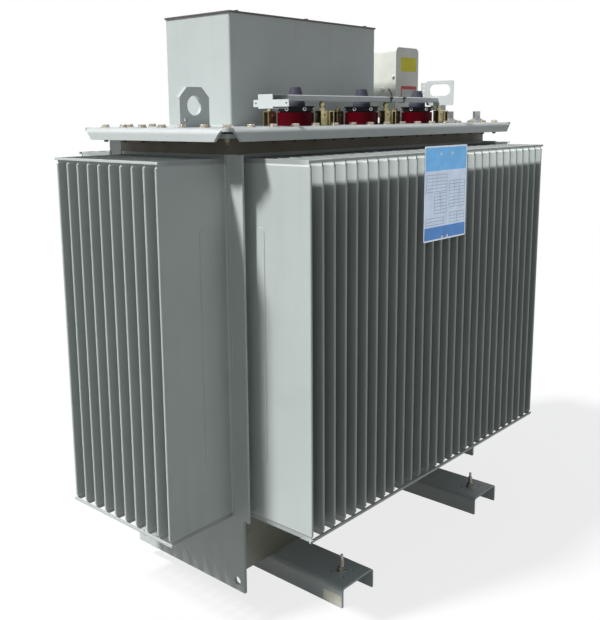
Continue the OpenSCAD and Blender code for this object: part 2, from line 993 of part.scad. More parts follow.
// Box at the left end of the locking bar, open to the front, with two drilled ears
module locking_bar_end() {
    color(relay_cream)
        translate([bar_x0 - sleeve_l, bar_y, sleeve_z]) {
            difference() {
                translate([0, -sleeve_w / 2, 0])
                    cube([sleeve_l, sleeve_w, sleeve_h]);
                translate([lock_t, -sleeve_w / 2 - lock_t, lock_t])
                    cube([sleeve_l - 2 * lock_t, sleeve_w, sleeve_h - 2 * lock_t]);
            }
            rotate([90, 0, 90])
                linear_extrude(lock_t)
                    difference() {
                        translate([-sleeve_w / 2 - ear_front, ear_z])
                            square([sleeve_w + ear_front + ear_rear, ear_h]);
                        for (y = [-sleeve_w / 2 - ear_front + ear_hole_inset, sleeve_w / 2 + ear_rear - ear_hole_inset])
                            translate([y, ear_z + ear_h / 2])
                                circle(d = ear_hole_d);
                    }
        }
}

// Outline of the handle plate with its drilled strip, the bar's middle at y = 0
module handle_outline() {
    top = handle_h - handle_drop;
    translate([handle_rear - handle_w / 2, top - handle_h / 2])
        rounded_rect(handle_w, handle_h, handle_r);
    translate([0, top - handle_r - strip_h])
        square([handle_rear + strip_w, strip_h]);
}

// Handle plate that the locking bar runs through, with a hand hole and a rail below
module locking_bar_handle() {
    strip_z = handle_h - handle_drop - handle_r - strip_h / 2;
    hand_y = handle_rear - handle_w / 2;
    color(relay_cream)
        translate([handle_x, bar_y, bar_z]) {
            rotate([90, 0, 90])
                linear_extrude(lock_t)
                    difference() {
                        handle_outline();
                        translate([hand_y, hand_z])
                            rounded_rect(hand_l, hand_h, hand_h / 2 - cut);
                        translate([0, lock_h / 2])
                            rounded_rect(lock_w, lock_h, lock_r);
                        for (i = [-1, 0, 1])
                            translate([handle_rear + strip_w / 2, strip_z + i * strip_h / 3])
                                circle(d = strip_hole_d);
                    }
            translate([0, rail_dy, -handle_drop - rail_h + lock_t])
                cube([rail_l, lock_t, rail_h]);
        }
}

module relay_neck() {
    color(relay_cream)
        translate([relay_x0 + relay_w / 2, lv_front + (relay_d + relay_front_d) / 2, lid_z])
            cylinder(d = neck_d, h = neck_h);
}

// Outline of the relay seen from the front, rounded at the top and drawn in by a step
module relay_outline(step) {
    w = relay_w - 2 * step;
    h = relay_h - step;
    translate([step, 0]) {
        square([w, h - relay_r]);
        translate([relay_r, 0])
            square([w - 2 * relay_r, h]);
        for (x = [relay_r, w - relay_r])
            translate([x, h - relay_r])
                circle(relay_r);
    }
}

// Slab of the relay from one depth to another behind the front plane
module relay_slab(y0, y1, step) {
    translate([relay_x0, lv_front + y1, relay_z])
        rotate([90, 0, 0])
            linear_extrude(y1 - y0)
                relay_outline(step);
}

// Housing of the relay with the round plug on its left side
module relay_body() {
    color(relay_cream) {
        relay_slab(relay_front_d, relay_front_d + relay_d, relay_step);
        translate([relay_x0 + relay_step - boss_h, lv_front + relay_front_d + boss_y, relay_z + boss_z])
            rotate([0, 90, 0])
                cylinder(d1 = boss_d - boss_h, d2 = boss_d, h = boss_h);
    }
}

// Front cover of the relay, held by a screw at each side
module relay_front() {
    color(relay_cream) {
        relay_slab(0, relay_front_d, 0);
        translate([relay_x0 - boss_h, lv_front + relay_screw_d, relay_z + relay_screw_z])
            rotate([0, 90, 0])
                cylinder(d = relay_screw_d, h = relay_w + 2 * boss_h);
    }
}

// Hexagon plug or pocket head on a coned flange
module fitting(wide) {
    color(bar_grey) {
        cylinder(d = wide, h = fitting_lip);
        translate([0, 0, fitting_lip])
            cylinder(d1 = wide - 2 * fitting_lip, d2 = fitting_hex, h = cone_h - fitting_lip);
        translate([0, 0, cone_h])
            cylinder(d = fitting_hex, h = fitting_h - cone_h, $fn = 6);
    }
}

module filler_plug() {
    translate([lid_l / 2 - filler_inset, -lid_w / 2 + filler_front, lid_z])
        fitting(filler_d);
}

module thermometer_pocket() {
    translate([lid_l / 2 - pocket_inset, -bushing_y, lid_z])
        fitting(pocket_d);
}

module rating_plate() {
    color(plate_blue)
        translate([plate_x, -tank_w / 2 - long_fin_d, fin_top_z + plate_rise - plate_h / 2])
            rotate([90, 0, 0])
                linear_extrude(plate_t)
                    rounded_rect(plate_w, plate_h, plate_r);
}

tank_body();
tank_tray();
front_panel();
rear_panel();
left_panel();
right_panel();
front_fin_bars();
rear_fin_bars();
left_fin_bars();
right_fin_bars();
left_tow_plate();
right_tow_plate();
left_skid();
right_skid();
left_roller_studs();
right_roller_studs();
tank_collar();
rim_flange();
lid_gasket();
lid();
left_lifting_lug();
right_lifting_lug();
lv_box();
lv_box_cover();
left_bushing_base();
middle_bushing_base();
right_bushing_base();
left_bushing_flange();
middle_bushing_flange();
right_bushing_flange();
left_bushing_cap();
middle_bushing_cap();
right_bushing_cap();
left_bushing_clamps();
middle_bushing_clamps();
right_bushing_clamps();
locking_bar();
locking_bar_end();
locking_bar_handle();
relay_neck();
relay_body();
relay_front();
filler_plug();
thermometer_pocket();
rating_plate();
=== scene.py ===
import json
import math
import random

import bmesh
import bpy
from mathutils import Matrix, Vector


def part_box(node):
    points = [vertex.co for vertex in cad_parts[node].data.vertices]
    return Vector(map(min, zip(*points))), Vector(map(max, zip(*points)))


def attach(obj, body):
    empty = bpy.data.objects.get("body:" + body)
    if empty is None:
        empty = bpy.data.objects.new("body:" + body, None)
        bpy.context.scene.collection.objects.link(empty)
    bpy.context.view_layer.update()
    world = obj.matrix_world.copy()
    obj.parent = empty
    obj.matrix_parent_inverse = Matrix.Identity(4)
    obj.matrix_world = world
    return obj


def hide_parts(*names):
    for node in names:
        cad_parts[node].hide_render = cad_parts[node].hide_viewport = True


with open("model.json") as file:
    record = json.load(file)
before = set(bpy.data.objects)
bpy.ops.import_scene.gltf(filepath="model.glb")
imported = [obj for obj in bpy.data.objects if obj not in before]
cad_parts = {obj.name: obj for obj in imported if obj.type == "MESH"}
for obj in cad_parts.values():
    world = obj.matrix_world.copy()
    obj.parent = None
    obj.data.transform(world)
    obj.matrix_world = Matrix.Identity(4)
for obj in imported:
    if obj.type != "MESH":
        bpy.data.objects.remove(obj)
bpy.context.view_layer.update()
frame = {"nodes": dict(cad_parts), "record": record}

# Camera of the photograph, in pixels of its 600 x 620 frame and metres
IMAGE = (600, 620)
FOCAL_PX = 828.135
CENTRE_PX = (295.103, 268.680)
EYE = Vector((-1.9202, -1.5847, 1.2414))
YAW = 0.845
PITCH = -0.182
ROLL = -0.008
SENSOR = 36

# Light: a soft key from the left, a little behind, and an even fill
KEY_TRAVEL = Vector((1, -0.44, -1.52))
KEY_STRENGTH = 4.1
KEY_ANGLE = 0.12
FILL_SKY = 0.34
FILL_GROUND = 0.05
FLOOR_SIZE = 40
FLOOR_WHITE = 0.80

# Small parts that the solids leave out, in metres
BOLT_INSET = 0.026
BOLTS_LONG = 17
BOLTS_SHORT = 7
BOLT_R = 0.006
HEAD_R = 0.0098
HEAD_H = 0.0055
WASHER_R = 0.012
WASHER_T = 0.002
NUT_H = 0.008
BOLT_TAIL = 0.006
THREAD_PITCH = 0.00175
THREAD_DEPTH = 0.0009
FLANGE_SCREWS = 6
SCREW_R = 0.0055
SCREW_H = 0.004
SCREW_CROWN = 0.0008
SCREW_INSET = 0.002
SCREW_RISE = 0.0085
SCREW_SEAT = 0.003
SCREW_TURN = math.radians(41.5)
SOCKET_R = 0.003
WELD_R = 0.003
WELD_HEAVY_R = 0.004
WELD_FINE_R = 0.002
WELD_RIPPLE = 0.004
TRAY_WELD_Z = 0.198
SKID_WELD_Y = 0.138
SKID_WELD_INSET = 0.012
TIE_PLACES = (0.062, 0.127)
TIE_W = 0.0045
TIE_T = 0.0016
TIE_CORNER_R = 0.004
TIE_HEAD_W = 0.0075
TIE_HEAD_H = 0.007
TIE_HEAD_T = 0.0055
TIE_HEAD_R = 0.0012
TIE_HEAD_DROP = 0.004
TIE_HEAD_SEAT = 0.002
TIE_TAIL = 0.022
TAIL_LEAN = 0.004
TAIL_CURL = 0.010
TAIL_STEPS = 8
TAIL_T = 0.0016
TAIL_W = 0.0036
PRINT_T = 0.0002
EDGE_R = 0.0015

# Painted shade between the fins: where it begins and ends behind the tips, and what stays clear of it
FIN_SHADE_FROM = 0.004
FIN_SHADE_TO = 0.040
BAR_OVER = 0.005
FACE_IN = BAR_OVER + 0.0012
FACE_BLUR = 0.001

# Paint that several looks share, as linear colour
TANK_GREY = (0.60, 0.655, 0.635)
LID_GREY = (0.63, 0.68, 0.665)

rng = random.Random(7)


def frame_at(origin, right, up):
    """Matrix whose X runs to the right, Y up and Z out of a face."""
    x = Vector(right).normalized()
    y = Vector(up).normalized()
    turn = Matrix((x, y, x.cross(y))).transposed().to_4x4()
    return Matrix.Translation(Vector(origin)) @ turn


def on_front(x, y, z):
    """Frame on a face that looks towards -Y."""
    return frame_at((x, y, z), (1, 0, 0), (0, 0, 1))


def on_left(x, y, z):
    """Frame on a face that looks towards -X."""
    return frame_at((x, y, z), (0, -1, 0), (0, 0, 1))


def upright(x, y, z):
    """Frame with Z up."""
    return Matrix.Translation((x, y, z))


def lathe(bm, profile, place, sides=28):
    """Turns (radius, height) points round the frame's Z axis and closes both ends."""
    rings = []
    for radius, height in profile:
        ring = []
        for i in range(sides):
            a = 2 * math.pi * i / sides
            point = Vector((radius * math.cos(a), radius * math.sin(a), height))
            ring.append(bm.verts.new(place @ point))
        rings.append(ring)
    for low, high in zip(rings, rings[1:]):
        for i in range(sides):
            j = (i + 1) % sides
            bm.faces.new((low[i], low[j], high[j], high[i]))
    bm.faces.new(rings[0][::-1])
    bm.faces.new(rings[-1])


def rounded_outline(width, height, radius, steps=5):
    """Points of a centred rectangle with rounded corners."""
    points = []
    for quarter, (sx, sy) in enumerate(((1, 1), (-1, 1), (-1, -1), (1, -1))):
        for k in range(steps + 1):
            a = (quarter + k / steps) * math.pi / 2
            x = sx * (width / 2 - radius) + radius * math.cos(a)
            y = sy * (height / 2 - radius) + radius * math.sin(a)
            points.append((x, y))
    return points


def extrude(bm, points, place, low, high):
    """Prism over an outline in the frame's XY plane."""
    bottom = [bm.verts.new(place @ Vector((x, y, low))) for x, y in points]
    top = [bm.verts.new(place @ Vector((x, y, high))) for x, y in points]
    count = len(points)
    for i in range(count):
        j = (i + 1) % count
        bm.faces.new((bottom[i], bottom[j], top[j], top[i]))
    bm.faces.new(bottom[::-1])
    bm.faces.new(top)


def slab(bm, place, width, height, thick, radius):
    """Rounded plate standing on the frame's XY plane."""
    extrude(bm, rounded_outline(width, height, radius), place, 0, thick)


def sweep(bm, path, outline):
    """Tube with a given outline along a path, closed at both ends."""
    rings = []
    for i, point in enumerate(path):
        ahead = path[min(i + 1, len(path) - 1)] - path[max(i - 1, 0)]
        turn = ahead.to_track_quat("Z", "Y").to_matrix()
        rings.append([bm.verts.new(point + turn @ Vector((x, y, 0))) for x, y in outline])
    count = len(outline)
    for low, high in zip(rings, rings[1:]):
        for i in range(count):
            j = (i + 1) % count
            bm.faces.new((low[i], low[j], high[j], high[i]))
    bm.faces.new(rings[0][::-1])
    bm.faces.new(rings[-1])


def threads(radius, low, high):
    """Profile points of a thread between two heights."""
    points = []
    turns = max(1, round((high - low) / THREAD_PITCH))
    for i in range(turns):
        z = low + (high - low) * i / turns
        points.append((radius - THREAD_DEPTH, z))
        points.append((radius, z + (high - low) / turns / 2))
    points.append((radius - THREAD_DEPTH, high))
    return points


def hexagon(bm, place, radius, low, high):
    """Hexagon head or nut with chamfered rims."""
    chamfer = 0.12 * radius
    lathe(bm, [
        (radius - chamfer, low), (radius, low + chamfer / 2),
        (radius, high - chamfer / 2), (radius - chamfer, high),
    ], place, sides=6)


def washer(bm, place, radius, low, thick):
    """Round washer with softened rims."""
    soft = thick / 4
    lathe(bm, [
        (radius - soft, low), (radius, low + soft),
        (radius, low + thick - soft), (radius - soft, low + thick),
    ], place)


def weld(bm, start, end, radius=WELD_R):
    """Rippled weld bead from one point to another."""
    along = Vector(end) - Vector(start)
    ripples = 2 * max(1, round(along.length / WELD_RIPPLE))
    place = Matrix.Translation(Vector(start)) @ along.to_track_quat("Z", "Y").to_matrix().to_4x4()
    profile = []
    for i in range(ripples + 1):
        swell = (0.8 if i % 2 else 1.0) * rng.uniform(0.93, 1.05)
        profile.append((radius * swell, along.length * i / ripples))
    lathe(bm, profile, place, sides=10)


def piece(name, bm, material, smooth=math.radians(35)):
    """Makes a bmesh a piece of the object, in the row frame."""
    bmesh.ops.recalc_face_normals(bm, faces=bm.faces)
    mesh = bpy.data.meshes.new(name)
    bm.to_mesh(mesh)
    bm.free()
    mesh.materials.append(material)
    mesh.shade_smooth()
    mesh.set_sharp_from_angle(angle=smooth)
    obj = bpy.data.objects.new(name, mesh)
    bpy.context.scene.collection.objects.link(obj)
    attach(obj, "root")
    return obj


class Look:
    """Node tree of one material, with short calls for the nodes used here."""

    def __init__(self, name):
        self.material = bpy.data.materials.new(name)
        self.material.use_nodes = True
        self.tree = self.material.node_tree
        self.bsdf = self.tree.nodes["Principled BSDF"]
        self.coords = self.tree.nodes.new("ShaderNodeTexCoord").outputs["Object"]

    def wire(self, source, target):
        self.tree.links.new(source, target)

    def noise(self, scale, detail=4.0, stretch=(1, 1, 1), seat=(0, 0, 0)):
        """Noise over the object's own coordinates, stretched along an axis."""
        mapping = self.tree.nodes.new("ShaderNodeMapping")
        mapping.inputs["Scale"].default_value = stretch
        mapping.inputs["Location"].default_value = seat
        self.wire(self.coords, mapping.inputs["Vector"])
        node = self.tree.nodes.new("ShaderNodeTexNoise")
        node.inputs["Scale"].default_value = scale
        node.inputs["Detail"].default_value = detail
        self.wire(mapping.outputs["Vector"], node.inputs["Vector"])
        return node.outputs["Fac"]

    def span(self, value, low, high, to_low=0.0, to_high=1.0):
        """Maps a range of a value to another, clamped."""
        node = self.tree.nodes.new("ShaderNodeMapRange")
        node.inputs["From Min"].default_value = low
        node.inputs["From Max"].default_value = high
        node.inputs["To Min"].default_value = to_low
        node.inputs["To Max"].default_value = to_high
        self.wire(value, node.inputs["Value"])
        return node.outputs["Result"]

    def times(self, a, b):
        node = self.tree.nodes.new("ShaderNodeMath")
        node.operation = "MULTIPLY"
        self.wire(a, node.inputs[0])
        self.wire(b, node.inputs[1])
        return node.outputs["Value"]

    def blend(self, factor, a, b):
        """Mixes two colours, each a triple or another node's colour."""
        node = self.tree.nodes.new("ShaderNodeMix")
        node.data_type = "RGBA"
        self.wire(factor, node.inputs["Factor"])
        for value, socket in ((a, node.inputs["A"]), (b, node.inputs["B"])):
            if isinstance(value, tuple):
                socket.default_value = (*value, 1)
            else:
                self.wire(value, socket)
        return node.outputs["Result"]

    def edge(self, radius=EDGE_R):
        """Rounded-edge normal, and a mask that is 1 along the edges."""
        bevel = self.tree.nodes.new("ShaderNodeBevel")
        bevel.samples = 4
        bevel.inputs["Radius"].default_value = radius
        flat = self.tree.nodes.new("ShaderNodeNewGeometry").outputs["Normal"]
        dot = self.tree.nodes.new("ShaderNodeVectorMath")
        dot.operation = "DOT_PRODUCT"
        self.wire(bevel.outputs["Normal"], dot.inputs[0])
        self.wire(flat, dot.inputs[1])
        return bevel.outputs["Normal"], self.span(dot.outputs["Value"], 0.98, 0.80)

    def upward(self):
        """Mask that is 1 on faces that look up."""
        split = self.tree.nodes.new("ShaderNodeSeparateXYZ")
        self.wire(self.tree.nodes.new("ShaderNodeNewGeometry").outputs["Normal"], split.inputs["Vector"])
        return self.span(split.outputs["Z"], 0.5, 0.95)

    def painted_shade_between_fins(self, axis, tip, outer):
        """Mask of painted shade that grows from the tips of a row of fins inwards, but not on the row's
        outer faces.
        """
        split = self.tree.nodes.new("ShaderNodeSeparateXYZ")
        self.wire(self.coords, split.inputs["Vector"])
        masks = []
        other = "XY".replace(axis, "")
        for name, low, high in (
            (axis, tip - FIN_SHADE_FROM, tip - FIN_SHADE_TO), (other, outer, outer - FACE_BLUR),
        ):
            size = self.tree.nodes.new("ShaderNodeMath")
            size.operation = "ABSOLUTE"
            self.wire(split.outputs[name], size.inputs[0])
            masks.append(self.span(size.outputs["Value"], low, high))
        return self.times(*masks)

    def bump(self, value, distance, strength=0.3, normal=None):
        node = self.tree.nodes.new("ShaderNodeBump")
        node.inputs["Distance"].default_value = distance
        node.inputs["Strength"].default_value = strength
        self.wire(value, node.inputs["Height"])
        if normal is not None:
            self.wire(normal, node.inputs["Normal"])
        self.wire(node.outputs["Normal"], self.bsdf.inputs["Normal"])

    def finish(self, colour, rough, metallic=0.0):
        self.wire(colour, self.bsdf.inputs["Base Color"])
        self.wire(rough, self.bsdf.inputs["Roughness"])
        self.bsdf.inputs["Metallic"].default_value = metallic
        return self.material


def tint(colour, factor):
    return tuple(min(1.0, c * factor) for c in colour)


def paint(name, colour, rough=0.42, grime=0.35, dusting_and_top_shade=(0.45, 0.445, 0.41), cover=0.6, worn=None, side=None,
          fin_shade=None):
    """Sprayed paint: faint clouding, rain streaks, a dusting on top that on some paints is also painted
    top shading, painted shade between the fins where asked, softened and worn edges.
    """
    look = Look(name)
    clouds = look.span(look.noise(2.2, 5), 0.35, 0.7)
    tone = look.blend(clouds, tint(colour, 0.93), tint(colour, 1.04))
    patches = look.span(look.noise(11, 6, seat=(3, 1, 2)), 0.52, 0.75, 0, 0.5 * grime)
    tone = look.blend(patches, tone, tint(colour, 0.80))
    streaks = look.span(look.noise(26, 3, stretch=(1, 1, 0.05)), 0.56, 0.80, 0, grime)
    tone = look.blend(streaks, tone, tint(colour, 0.82))
    # Dusting on up-facing faces. With the lid's top colour it is also painted shade, giving a darker and
    # bluer top. With the cable-box cover's it is painted shade, giving a darker top. With the skids' it
    # is painted light, giving a bluer top.
    dusting_and_shade_patches = look.span(look.noise(16, 6, seat=(5, 5, 5)), 0.25, 0.65, cover / 2, cover)
    dusting_and_shade_on_top = look.times(look.upward(), dusting_and_shade_patches)
    tone = look.blend(dusting_and_shade_on_top, tone, dusting_and_top_shade)
    # Painted shade: darker paint between the fins, growing in from their tips.
    if fin_shade is not None:
        tone = look.blend(look.painted_shade_between_fins(*fin_shade), tone, tint(colour, 0.60))
    if side is not None:
        tone = look.blend(look.upward(), side, tone)
    normal, edges = look.edge()
    chips = look.times(edges, look.span(look.noise(60, 4), 0.45, 0.62))
    tone = look.blend(chips, tone, worn or tint(colour, 1.12))
    gloss = look.span(look.noise(18, 4, seat=(2, 7, 1)), 0.3, 0.7, rough - 0.07, rough + 0.09)
    look.bump(look.noise(420, 2), 0.0004, 0.12, normal)
    return look.finish(tone, gloss)


def zinc(name, low=(0.28, 0.23, 0.09), high=(0.50, 0.46, 0.27)):
    """Yellow passivated zinc with its drifting tints."""
    look = Look(name)
    drift = look.span(look.noise(38, 3), 0.32, 0.68)
    tone = look.blend(drift, low, high)
    blush = look.span(look.noise(55, 3, seat=(4, 0, 9)), 0.55, 0.75, 0, 0.6)
    tone = look.blend(blush, tone, (0.44, 0.30, 0.22))
    stain = look.span(look.noise(90, 5, seat=(1, 8, 3)), 0.58, 0.72, 0, 0.7)
    tone = look.blend(stain, tone, (0.10, 0.075, 0.04))
    normal, edges = look.edge(0.0008)
    tone = look.blend(edges, tone, (0.74, 0.72, 0.62))
    gloss = look.span(look.noise(70, 4), 0.3, 0.7, 0.26, 0.46)
    look.bump(look.noise(700, 3), 0.0003, 0.15, normal)
    return look.finish(tone, gloss, 0.85)


def steel(name, colour, rough):
    """Bare or plated metal with fine turning marks and dull patches."""
    look = Look(name)
    patches = look.span(look.noise(45, 5), 0.35, 0.7)
    tone = look.blend(patches, tint(colour, 0.72), tint(colour, 1.08))
    normal, edges = look.edge(0.001)
    tone = look.blend(edges, tone, tint(colour, 1.25))
    gloss = look.span(look.noise(30, 4, seat=(3, 3, 0)), 0.3, 0.7, rough - 0.08, rough + 0.14)
    look.bump(look.noise(240, 3, stretch=(1, 1, 14)), 0.0003, 0.18, normal)
    return look.finish(tone, gloss, 0.9)


def moulded(name, colour, rough, grain=0.0004, dirt=0.25, sheen=0.5, film_and_top_shade=None):
    """Moulded resin, rubber or plastic with a fine grain and a dusting on top, which on the relay is also
    painted shade that dims its tops.
    """
    look = Look(name)
    clouds = look.span(look.noise(9, 5), 0.35, 0.7)
    tone = look.blend(clouds, tint(colour, 0.88), tint(colour, 1.08))
    # Dusting on up-facing faces; on the relay it is also painted shade on the tops.
    thin, thick = film_and_top_shade or (0, dirt)
    dusting_and_shade_on_top = look.times(look.upward(), look.span(look.noise(28, 5), 0.4, 0.7, thin, thick))
    tone = look.blend(dusting_and_shade_on_top, tone, (0.60, 0.585, 0.53))
    spots = look.span(look.noise(120, 3, seat=(6, 2, 4)), 0.66, 0.74, 0, dirt)
    tone = look.blend(spots, tone, tint(colour, 0.6))
    normal, edges = look.edge(0.0012)
    tone = look.blend(edges, tone, tint(colour, 1.15))
    gloss = look.span(look.noise(34, 4), 0.3, 0.7, rough - 0.06, rough + 0.1)
    look.bump(look.noise(520, 3), grain, 0.2, normal)
    look.bsdf.inputs["Specular IOR Level"].default_value = sheen
    return look.finish(tone, gloss)


def printed(name, colour, metallic, rough=0.34, dirt=0.3):
    """Printed sheet or sticker with faint rubbing and handling marks."""
    look = Look(name)
    rub = look.span(look.noise(30, 5), 0.4, 0.72)
    tone = look.blend(rub, tint(colour, 0.94), tint(colour, 1.05))
    marks = look.span(look.noise(95, 4, stretch=(1, 1, 0.3)), 0.6, 0.75, 0, dirt)
    tone = look.blend(marks, tone, tint(colour, 0.72))
    gloss = look.span(look.noise(50, 3), 0.3, 0.7, rough - 0.08, rough + 0.1)
    look.bump(look.noise(600, 2), 0.0002, 0.08)
    return look.finish(tone, gloss, metallic)


tank_paint = paint("tank_paint", TANK_GREY)
long_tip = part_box("rear_panel")[1].y
end_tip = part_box("right_panel")[1].x
bar_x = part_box("rear_fin_bars")[1].x
bar_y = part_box("right_fin_bars")[1].y
# The long and end panels carry painted shade between their fins.
long_fin_shade_paint = paint("long_panel_fin_shade_paint", TANK_GREY, fin_shade=("Y", long_tip, bar_x - FACE_IN))
end_panel_fin_shade_paint = paint("end_panel_fin_shade_paint", TANK_GREY, fin_shade=("X", end_tip, bar_y - FACE_IN))
# Lid: its top colour is a dusting and painted shade that makes its top darker and bluer.
lid_paint = paint("lid_paint", LID_GREY, rough=0.38, dusting_and_top_shade=(0.345, 0.37, 0.385), cover=0.95)
# Tray: dark olive paint that is painted shade under the fins.
tray_paint = paint("tray_paint", (0.32, 0.32, 0.253), rough=0.5, grime=0.5)
# Skids: their top colour is a dusting and painted light that turns their tops bluer.
skid_paint = paint("skid_paint", (0.60, 0.65, 0.64), rough=0.45, grime=0.5, dusting_and_top_shade=(0.54, 0.60, 0.63))
# Collar: dark brown paint that is painted shade under the lid.
collar_shade_paint = paint("collar_shade_paint", (0.165, 0.138, 0.093), rough=0.5, grime=0.6)
# Cable-box cover: its top colour is a dusting and painted shade that darkens its top.
cover_paint = paint(
    "cover_paint", LID_GREY, dusting_and_top_shade=(0.335, 0.34, 0.335), cover=0.95, worn=(0.21, 0.186, 0.173),
    side=(0.113, 0.096, 0.088))
tow_paint = paint("tow_paint", (0.63, 0.68, 0.66))
bar_paint = paint("bar_paint", (0.56, 0.595, 0.615), rough=0.34, grime=0.2)
end_paint = paint("end_paint", (0.69, 0.73, 0.725), rough=0.38, grime=0.2)
black_paint = moulded("flange_black", (0.02, 0.021, 0.024), 0.50, dirt=0.12, sheen=0.12)
gasket = moulded("gasket_rubber", (0.04, 0.04, 0.043), 0.65)
resin = moulded("resin", (0.095, 0.0008, 0.006), 0.40, dirt=0.08, sheen=0.06)
cap_rubber = moulded("cap_rubber", (0.075, 0.076, 0.105), 0.55, dirt=0.15, sheen=0.2)
# Relay: its heavy top dusting is also painted shade that dims its tops.
relay_plastic = moulded("relay_plastic", (0.84, 0.85, 0.77), 0.40, dirt=0.2, film_and_top_shade=(0.6, 0.9))
relay_cover = moulded(
    "relay_cover", (0.86, 0.88, 0.80), 0.36, dirt=0.2, sheen=0.7, film_and_top_shade=(0.6, 0.9))
tie_plastic = moulded("tie_plastic", (0.027, 0.027, 0.029), 0.4)
zinc_plate = zinc("zinc")
bolt_zinc = zinc("bolt_zinc", (0.40, 0.33, 0.25), (0.60, 0.56, 0.49))
fitting_steel = steel("fitting_steel", (0.36, 0.37, 0.37), 0.38)
stud_steel = steel("stud_steel", (0.36, 0.35, 0.32), 0.42)
nut_steel = steel("nut_steel", (0.20, 0.18, 0.13), 0.5)
screw_steel = steel("screw_steel", (0.62, 0.62, 0.61), 0.35)
plate_white = printed("plate_white", (0.66, 0.72, 0.80), 0.8)
plate_body = printed("plate_body", (0.54, 0.64, 0.78), 0.8)
plate_blue = printed("plate_blue", (0.15, 0.43, 0.77), 0.8)
plate_deep_blue = printed("plate_deep_blue", (0.07, 0.22, 0.52), 0.8)
plate_rule = printed("plate_rule", (0.25, 0.30, 0.42), 0.6)
yellow_label = printed("yellow_label", (0.93, 0.83, 0.025), 0.0, 0.5)
red_label = printed("red_label", (0.60, 0.04, 0.047), 0.0, 0.5)
pale_label = printed("pale_label", (0.73, 0.745, 0.73), 0.0, 0.5)
cream_label = printed("cream_label", (0.92, 0.90, 0.76), 0.0, 0.55, dirt=0.4)

SLOT_LOOKS = {
    "tank_paint": tank_paint, "lid_paint": lid_paint, "tray_paint": tray_paint, "skid_paint": skid_paint,
    "zinc": zinc_plate, "gasket_rubber": gasket, "resin": resin, "flange_black": black_paint,
    "cap_rubber": cap_rubber, "bar_paint": bar_paint, "end_paint": end_paint,
    "relay_plastic": relay_plastic, "relay_cover": relay_cover, "fitting_steel": fitting_steel,
    "plate_face": plate_body,
}

NODE_LOOKS = {
    "left_tow_plate": tow_paint, "right_tow_plate": tow_paint,
    "tank_collar": collar_shade_paint, "lv_box_cover": cover_paint,
    "front_panel": long_fin_shade_paint, "rear_panel": long_fin_shade_paint,
    "left_panel": end_panel_fin_shade_paint, "right_panel": end_panel_fin_shade_paint,
}


def paint_nodes():
    """Gives each CAD node the look of its slot in the record."""
    for part in frame["record"]["subparts"]:
        mesh = frame["nodes"][part["node"]].data
        mesh.materials.clear()
        mesh.materials.append(NODE_LOOKS.get(part["node"], SLOT_LOOKS[part["material_slot"]]))


def rim_points():
    """Places of the lid bolts round the rim."""
    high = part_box("rim_flange")[1]
    x = high.x - BOLT_INSET
    y = high.y - BOLT_INSET
    points = []
    for i in range(BOLTS_LONG):
        along = -x + 2 * x * i / (BOLTS_LONG - 1)
        points += [(along, -y), (along, y)]
    for i in range(1, BOLTS_SHORT - 1):
        across = -y + 2 * y * i / (BOLTS_SHORT - 1)
        points += [(-x, across), (x, across)]
    return points


def make_lid_bolts():
    """Bolts through the lid and the rim, each with washers, a head and a nut."""
    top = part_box("lid")[1].z
    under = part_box("rim_flange")[0].z
    heads = bmesh.new()
    nuts = bmesh.new()
    for x, y in rim_points():
        turn = Matrix.Rotation(rng.uniform(0, math.pi / 3), 4, "Z")
        place = upright(x, y, top) @ turn
        washer(heads, place, WASHER_R, 0, WASHER_T)
        hexagon(heads, place, HEAD_R, WASHER_T, WASHER_T + HEAD_H)
        place = upright(x, y, under) @ turn
        hexagon(nuts, place, HEAD_R, -NUT_H, 0)
        lathe(nuts, threads(BOLT_R, -NUT_H - BOLT_TAIL, -NUT_H), place, sides=16)
    piece("lid_bolt_heads", heads, bolt_zinc)
    piece("lid_bolt_nuts", nuts, nut_steel)


def make_flange_screws():
    """Socket screws round each bushing flange."""
    for side in ("left", "middle", "right"):
        low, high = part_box(f"{side}_bushing_flange")
        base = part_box(f"{side}_bushing_base")[1]
        centre = (low + high) / 2
        radius = base.x - centre.x - SCREW_INSET
        bm = bmesh.new()
        for i in range(FLANGE_SCREWS):
            a = 2 * math.pi * (i + 0.5) / FLANGE_SCREWS + SCREW_TURN
            out = Vector((math.cos(a), math.sin(a), 0))
            spot = centre + radius * out
            place = frame_at((spot.x, spot.y, base.z + SCREW_RISE), (-out.y, out.x, 0), (0, 0, 1))
            place = place @ Matrix.Translation((0, 0, -SCREW_SEAT))
            lathe(bm, [
                (SCREW_R, 0), (SCREW_R, SCREW_H), (SCREW_R * 0.85, SCREW_H + SCREW_CROWN),
                (SOCKET_R, SCREW_H + SCREW_CROWN), (SOCKET_R, SCREW_H / 2),
            ], place, sides=20)
        piece(f"{side}_flange_screws", bm, screw_steel)


def make_studs():
    """Threaded roller studs with washers, nuts and knobs, in place of the plain ones."""
    washer_d = 0.026
    washer_t = 0.003
    nut_r = 0.0105
    nut_h = 0.010
    shaft_r = 0.006
    knob_h = 0.008
    knob_r = 0.004
    knob_crown = 0.003
    for side in ("left", "right"):
        low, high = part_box(f"{side}_roller_studs")
        skid_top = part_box(f"{side}_skid")[1].z
        bm = bmesh.new()
        for y in (low.y + washer_d / 2, high.y - washer_d / 2):
            place = upright((low.x + high.x) / 2, y, 0)
            nut_z = skid_top + washer_t
            neck_z = high.z - knob_h - shaft_r
            under_z = low.z + shaft_r
            washer(bm, place, washer_d / 2, skid_top, washer_t)
            hexagon(bm, place, nut_r, nut_z, nut_z + nut_h)
            hexagon(bm, place, nut_r, under_z, under_z + nut_h)
            lathe(bm, threads(shaft_r, low.z, neck_z) + [
                (shaft_r / 2, high.z - knob_h), (knob_r, high.z - knob_h),
                (knob_r, high.z - knob_crown), (0.75 * knob_r, high.z - knob_crown / 6),
                (0.45 * knob_r, high.z),
            ], place, sides=24)
        studs = piece(f"{side}_threaded_studs", bm, stud_steel)
        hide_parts(f"{side}_roller_studs")


